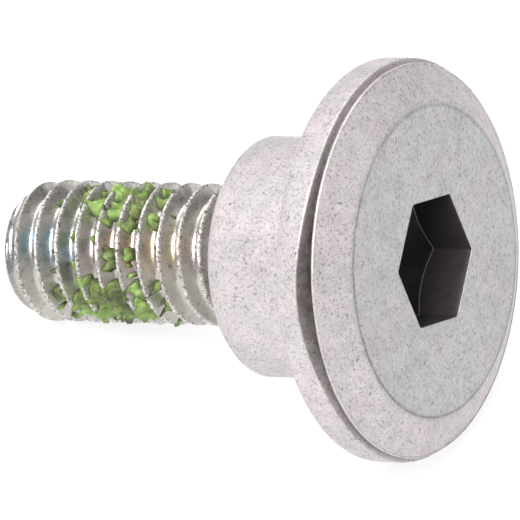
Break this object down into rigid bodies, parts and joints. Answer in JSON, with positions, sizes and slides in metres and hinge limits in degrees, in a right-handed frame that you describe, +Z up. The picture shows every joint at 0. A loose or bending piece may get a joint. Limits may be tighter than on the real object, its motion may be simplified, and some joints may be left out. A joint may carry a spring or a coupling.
{
  "type": "shoulder bolt",
  "caption": "Shoulder bolt with a bevelled flanged head, hexagon socket, plain shoulder and a short metric thread with dried thread-locking patch.",
  "frame": {"origin": "on the bolt's axis at the bearing face, the flat underside of the head", "axes": "+Z up with the bolt lying on its side as it comes to rest. The axis lies in the XZ plane. It rises towards the head and +X at 18.51 degrees from the level, and the thread points the other way. The table is at the lowest point of the part, on the rim of the head and on the last full crest of the thread."},
  "size_m": [0.0213, 0.0166, 0.0161],
  "materials": {
    "zinc_plate": "dull zinc plate with fine grain and dark specks"
  },
  "bodies": {
    "root": {"shoulder_bolt": "zinc_plate"}
  },
  "joints": []
}
